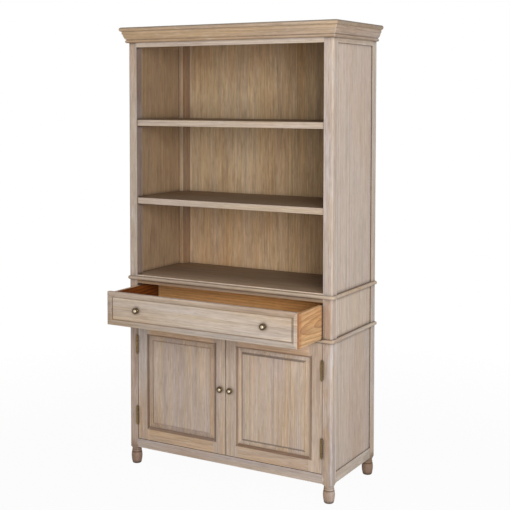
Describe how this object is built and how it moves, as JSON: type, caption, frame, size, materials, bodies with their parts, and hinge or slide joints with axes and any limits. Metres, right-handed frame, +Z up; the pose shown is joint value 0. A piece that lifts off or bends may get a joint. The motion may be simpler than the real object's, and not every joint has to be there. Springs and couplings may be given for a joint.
{
  "type": "dresser with hutch",
  "caption": "Tall limed-wood dresser: open shelved hutch with a moulded cornice over a base with a full-width drawer and a pair of raised-panel doors on turned feet.",
  "frame": {"origin": "on the floor, at the middle of the bounding box with the drawer pulled out as in the picture", "axes": "+Z up, the front faces -Y, +X to the right of a person in front of it"},
  "size_m": [1.086, 0.6876, 2],
  "materials": {
    "limed_wood": "matt limed taupe with darker glaze in the grooves",
    "inner_wood": "matt limed, a little darker, inside the hutch and cupboard",
    "natural_wood": "clear satin on warm natural wood",
    "antique_brass": "aged, dark in the hollows and bright where it is handled"
  },
  "bodies": {
    "carcass": {"base_post_front_left": "limed_wood", "base_post_front_right": "limed_wood", "base_post_rear_left": "limed_wood", "base_post_rear_right": "limed_wood", "base_side_panel_left": "limed_wood", "base_side_panel_right": "limed_wood", "base_rail_front": "limed_wood", "base_rail_rear": "limed_wood", "base_side_rails": "limed_wood", "cupboard_floor": "inner_wood", "base_back": "inner_wood", "waist_rail": "limed_wood", "waist_moulding_front": "limed_wood", "waist_moulding_returns": "limed_wood", "drawer_top_rail": "limed_wood", "base_top": "limed_wood", "drawer_runners": "natural_wood", "door_stops": "natural_wood", "hutch_post_front_left": "limed_wood", "hutch_post_front_right": "limed_wood", "hutch_post_rear_left": "limed_wood", "hutch_post_rear_right": "limed_wood", "hutch_side_panel_left": "limed_wood", "hutch_side_panel_right": "limed_wood", "hutch_side_rails": "limed_wood", "frieze_rail": "limed_wood", "hutch_floor": "inner_wood", "hutch_shelf_lower": "inner_wood", "hutch_shelf_upper": "inner_wood", "hutch_back": "inner_wood", "cornice_front": "limed_wood", "cornice_returns": "limed_wood", "cornice_cap": "limed_wood", "hutch_dowels": "natural_wood", "post_hinge_leaves": "antique_brass", "hinge_pins": "antique_brass", "post_hinge_screws": "antique_brass"},
    "drawer": {"drawer_front": "limed_wood", "drawer_side_left": "natural_wood", "drawer_side_right": "natural_wood", "drawer_back": "natural_wood", "drawer_bottom": "natural_wood", "drawer_knobs": "antique_brass", "drawer_knob_screws": "antique_brass"},
    "left_door": {"left_door_hinge_stile": "limed_wood", "left_door_lock_stile": "limed_wood", "left_door_top_rail": "limed_wood", "left_door_bottom_rail": "limed_wood", "left_door_panel": "limed_wood", "left_door_knob": "antique_brass", "left_door_hinge_leaves": "antique_brass", "left_door_screws": "antique_brass"},
    "right_door": {"right_door_hinge_stile": "limed_wood", "right_door_lock_stile": "limed_wood", "right_door_top_rail": "limed_wood", "right_door_bottom_rail": "limed_wood", "right_door_panel": "limed_wood", "right_door_knob": "antique_brass", "right_door_hinge_leaves": "antique_brass", "right_door_screws": "antique_brass"}
  },
  "joints": [
    {"name": "drawer_slide", "type": "slide", "parent": "carcass", "child": "drawer", "axis": [0, -1, 0], "range_m": [-0.229, 0.071]},
    {"name": "left_door_hinge", "type": "hinge", "parent": "carcass", "child": "left_door", "pos_m": [-0.4667, -0.10665, 0.4], "axis": [0, 0, -1], "range_deg": [0, 170]},
    {"name": "right_door_hinge", "type": "hinge", "parent": "carcass", "child": "right_door", "pos_m": [0.4667, -0.10665, 0.4], "axis": [0, 0, 1], "range_deg": [0, 170]}
  ]
}
